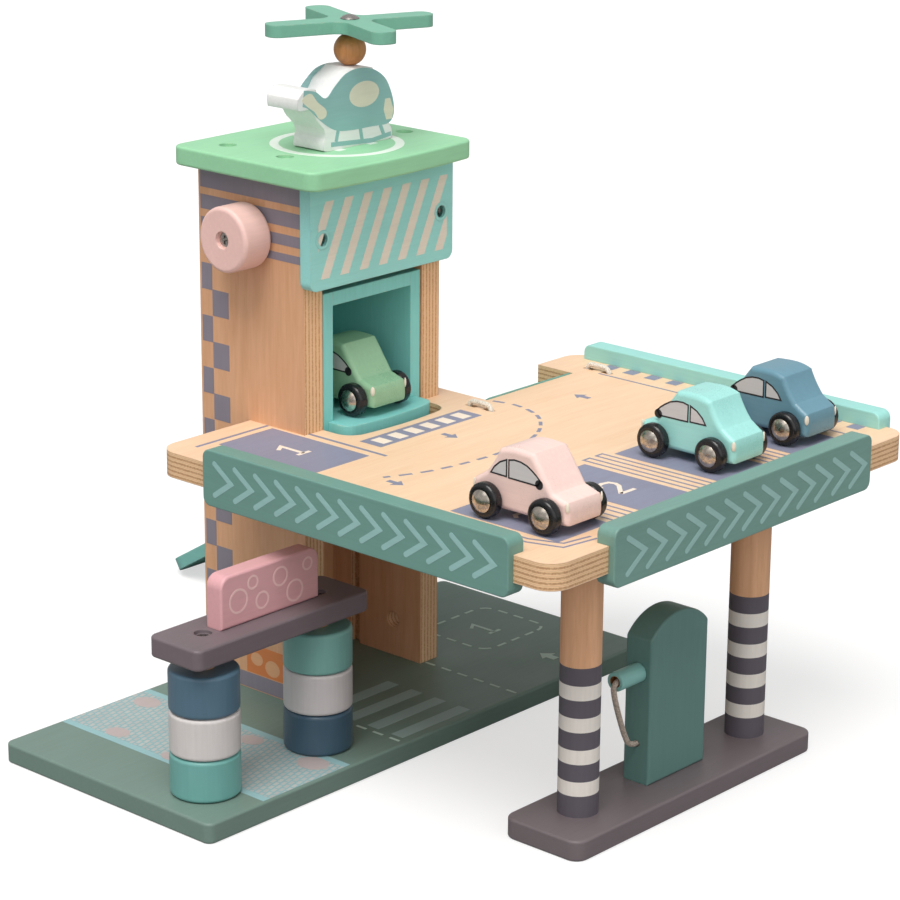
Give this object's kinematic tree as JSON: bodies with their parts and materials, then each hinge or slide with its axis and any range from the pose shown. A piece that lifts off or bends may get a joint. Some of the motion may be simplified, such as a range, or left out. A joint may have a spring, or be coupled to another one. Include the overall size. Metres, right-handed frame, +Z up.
{
  "type": "toy parking garage",
  "caption": "Wooden toy parking garage with a wind-up lift tower, raised deck, ramp, roller car wash, fuel pump, wooden cars and a rooftop helicopter.",
  "frame": {"origin": "bottom centre of the whole set's bounding box, on the floor", "axes": "+X from the lift tower towards the two round posts, the way the lift opens; +Y from the car wash towards the open parking bay; +Z up"},
  "size_m": [0.5072, 0.398, 0.4088],
  "materials": {
    "base_green": "satin paint over plywood",
    "tower_wood": "satin clear varnish",
    "deck_wood": "satin clear varnish",
    "ramp_teal": "satin paint",
    "roof_green": "satin paint over plywood",
    "header_teal": "satin paint with printed stripes",
    "rail_green": "satin paint with printed chevrons",
    "rail_aqua": "satin paint",
    "cabin_teal": "satin paint",
    "plank_grey": "satin paint",
    "pump_green": "satin paint",
    "nozzle_teal": "satin paint",
    "ring_mint": "gloss paint",
    "ring_cream": "gloss paint",
    "ring_blue": "gloss paint",
    "ring_navy": "gloss paint",
    "ring_green": "gloss paint",
    "knob_pink": "satin paint",
    "sign_pink": "satin paint",
    "heli_cream": "satin paint with printed panels",
    "ball_wood": "gloss varnish",
    "rotor_green": "satin paint",
    "car_pink": "gloss paint",
    "car_aqua": "gloss paint",
    "car_blue": "gloss paint",
    "car_green": "gloss paint",
    "tyre_black": "gloss",
    "washer_black": "matte",
    "pin_steel": "polished",
    "screw_steel": "zinc plated",
    "cord_beige": "braided",
    "cord_white": "braided"
  },
  "bodies": {
    "garage": {"base_board": "base_green", "tower_panel_left": "tower_wood", "tower_panel_right": "tower_wood", "tower_back_panel": "tower_wood", "tower_roof": "roof_green", "header_panel": "header_teal", "countersunk_screws": "screw_steel", "deck": "deck_wood", "rail_left": "rail_green", "rail_front": "rail_green", "rail_rear": "rail_aqua", "post_foot": "plank_grey", "deck_posts": "tower_wood", "pump_body": "pump_green", "wash_dowels": "tower_wood", "wash_beam": "plank_grey", "wash_sign": "sign_pink", "ramp_cord_loops": "cord_white", "lift_cord": "cord_white"},
    "lift_cabin": {"cabin_floor": "cabin_teal", "cabin_wall_left": "cabin_teal", "cabin_wall_right": "cabin_teal", "cabin_back": "cabin_teal", "cabin_top": "cabin_teal", "cabin_guides": "cabin_teal"},
    "lift_winder": {"winder_knob": "knob_pink", "winder_shaft": "tower_wood", "knob_screw": "screw_steel"},
    "ramp": {"ramp_board": "ramp_teal", "ramp_batten": "tower_wood", "ramp_pin": "tower_wood"},
    "nozzle": {"pump_nozzle": "nozzle_teal", "pump_hose": "cord_beige"},
    "helicopter": {"heli_body": "heli_cream", "heli_ball": "ball_wood", "heli_washer": "washer_black", "heli_pin": "pin_steel"},
    "rotor": {"heli_rotor": "rotor_green"},
    "ring_left_1": {"wash_ring_left_1": "ring_mint"},
    "ring_left_2": {"wash_ring_left_2": "ring_cream"},
    "ring_left_3": {"wash_ring_left_3": "ring_blue"},
    "ring_right_1": {"wash_ring_right_1": "ring_navy"},
    "ring_right_2": {"wash_ring_right_2": "ring_cream"},
    "ring_right_3": {"wash_ring_right_3": "ring_green"},
    "car_pink": {"car_pink_body": "car_pink", "car_pink_wheel_pins": "pin_steel"},
    "car_pink_front_wheels": {"car_pink_front_tyres": "tyre_black"},
    "car_pink_rear_wheels": {"car_pink_rear_tyres": "tyre_black"},
    "car_aqua": {"car_aqua_body": "car_aqua", "car_aqua_wheel_pins": "pin_steel"},
    "car_aqua_front_wheels": {"car_aqua_front_tyres": "tyre_black"},
    "car_aqua_rear_wheels": {"car_aqua_rear_tyres": "tyre_black"},
    "car_blue": {"car_blue_body": "car_blue", "car_blue_wheel_pins": "pin_steel"},
    "car_blue_front_wheels": {"car_blue_front_tyres": "tyre_black"},
    "car_blue_rear_wheels": {"car_blue_rear_tyres": "tyre_black"},
    "car_green": {"car_green_body": "car_green", "car_green_wheel_pins": "pin_steel"},
    "car_green_front_wheels": {"car_green_front_tyres": "tyre_black"},
    "car_green_rear_wheels": {"car_green_rear_tyres": "tyre_black"}
  },
  "joints": [
    {"name": "lift_slide", "type": "slide", "parent": "garage", "child": "lift_cabin", "axis": [0, 0, 1], "range_m": [-0.16, 0.015], "deforming": ["lift_cord"]},
    {"name": "winder_turn", "type": "hinge", "parent": "garage", "child": "lift_winder", "pos_m": [-0.03914, -0.058, 0.2895], "axis": [0, 1, 0], "range_deg": [-140, 1465]},
    {"name": "ramp_hinge", "type": "hinge", "parent": "garage", "child": "ramp", "pos_m": [0.03106, 0.1175, 0.18], "axis": [0, 1, 0], "range_deg": [0, 10]},
    {"name": "nozzle_pull", "type": "slide", "parent": "garage", "child": "nozzle", "axis": [0, -1, 0], "range_m": [0, 0.014]},
    {"name": "helicopter_lift", "type": "slide", "parent": "garage", "child": "helicopter", "axis": [0, 0, 1], "range_m": [0, 0.06]},
    {"name": "rotor_spin", "type": "hinge", "parent": "helicopter", "child": "rotor", "pos_m": [-0.02194, 0.017, 0.402], "axis": [0, 0, 1], "continuous": true},
    {"name": "ring_left_1_spin", "type": "hinge", "parent": "garage", "child": "ring_left_1", "pos_m": [0.04506, -0.168, 0.0243], "axis": [0, 0, 1], "continuous": true},
    {"name": "ring_left_2_spin", "type": "hinge", "parent": "garage", "child": "ring_left_2", "pos_m": [0.04506, -0.168, 0.0486], "axis": [0, 0, 1], "continuous": true},
    {"name": "ring_left_3_spin", "type": "hinge", "parent": "garage", "child": "ring_left_3", "pos_m": [0.04506, -0.168, 0.0729], "axis": [0, 0, 1], "continuous": true},
    {"name": "ring_right_1_spin", "type": "hinge", "parent": "garage", "child": "ring_right_1", "pos_m": [0.04506, -0.0802, 0.0243], "axis": [0, 0, 1], "continuous": true},
    {"name": "ring_right_2_spin", "type": "hinge", "parent": "garage", "child": "ring_right_2", "pos_m": [0.04506, -0.0802, 0.0486], "axis": [0, 0, 1], "continuous": true},
    {"name": "ring_right_3_spin", "type": "hinge", "parent": "garage", "child": "ring_right_3", "pos_m": [0.04506, -0.0802, 0.0729], "axis": [0, 0, 1], "continuous": true},
    {"name": "car_pink_roll", "type": "slide", "parent": "garage", "child": "car_pink", "axis": [1, 0, 0], "range_m": [-0.15, 0.012]},
    {"name": "car_pink_front_wheels_turn", "type": "hinge", "parent": "car_pink", "child": "car_pink_front_wheels", "pos_m": [0.21446, -0.0675, 0.189], "axis": [0, 1, 0], "range_deg": [-888, 72]},
    {"name": "car_pink_rear_wheels_turn", "type": "hinge", "parent": "car_pink", "child": "car_pink_rear_wheels", "pos_m": [0.17406, -0.0675, 0.189], "axis": [0, 1, 0], "range_deg": [-888, 72]},
    {"name": "car_aqua_roll", "type": "slide", "parent": "garage", "child": "car_aqua", "axis": [1, 0, 0], "range_m": [-0.11, 0.015]},
    {"name": "car_aqua_front_wheels_turn", "type": "hinge", "parent": "car_aqua", "child": "car_aqua_front_wheels", "pos_m": [0.17216, 0.0755, 0.189], "axis": [0, 1, 0], "range_deg": [-651, 90]},
    {"name": "car_aqua_rear_wheels_turn", "type": "hinge", "parent": "car_aqua", "child": "car_aqua_rear_wheels", "pos_m": [0.21256, 0.0755, 0.189], "axis": [0, 1, 0], "range_deg": [-651, 90]},
    {"name": "car_blue_roll", "type": "slide", "parent": "garage", "child": "car_blue", "axis": [1, 0, 0], "range_m": [-0.11, 0.015]},
    {"name": "car_blue_front_wheels_turn", "type": "hinge", "parent": "car_blue", "child": "car_blue_front_wheels", "pos_m": [0.17216, 0.1435, 0.189], "axis": [0, 1, 0], "range_deg": [-651, 90]},
    {"name": "car_blue_rear_wheels_turn", "type": "hinge", "parent": "car_blue", "child": "car_blue_rear_wheels", "pos_m": [0.21256, 0.1435, 0.189], "axis": [0, 1, 0], "range_deg": [-651, 90]},
    {"name": "car_green_roll", "type": "slide", "parent": "lift_cabin", "child": "car_green", "axis": [1, 0, 0], "range_m": [-0.012, 0.006]},
    {"name": "car_green_front_wheels_turn", "type": "hinge", "parent": "car_green", "child": "car_green_front_wheels", "pos_m": [0.00446, 0.0095, 0.1925], "axis": [0, 1, 0], "range_deg": [-72, 37]},
    {"name": "car_green_rear_wheels_turn", "type": "hinge", "parent": "car_green", "child": "car_green_rear_wheels", "pos_m": [-0.03594, 0.0095, 0.1925], "axis": [0, 1, 0], "range_deg": [-72, 37]}
  ],
  "couplings": [
    {"joint": "winder_turn", "follows": "lift_slide", "rad_per_m": -159.24},
    {"joint": "car_pink_front_wheels_turn", "follows": "car_pink_roll", "rad_per_m": 103.09},
    {"joint": "car_pink_rear_wheels_turn", "follows": "car_pink_roll", "rad_per_m": 103.09},
    {"joint": "car_aqua_front_wheels_turn", "follows": "car_aqua_roll", "rad_per_m": 103.09},
    {"joint": "car_aqua_rear_wheels_turn", "follows": "car_aqua_roll", "rad_per_m": 103.09},
    {"joint": "car_blue_front_wheels_turn", "follows": "car_blue_roll", "rad_per_m": 103.09},
    {"joint": "car_blue_rear_wheels_turn", "follows": "car_blue_roll", "rad_per_m": 103.09},
    {"joint": "car_green_front_wheels_turn", "follows": "car_green_roll", "rad_per_m": 103.09},
    {"joint": "car_green_rear_wheels_turn", "follows": "car_green_roll", "rad_per_m": 103.09}
  ]
}
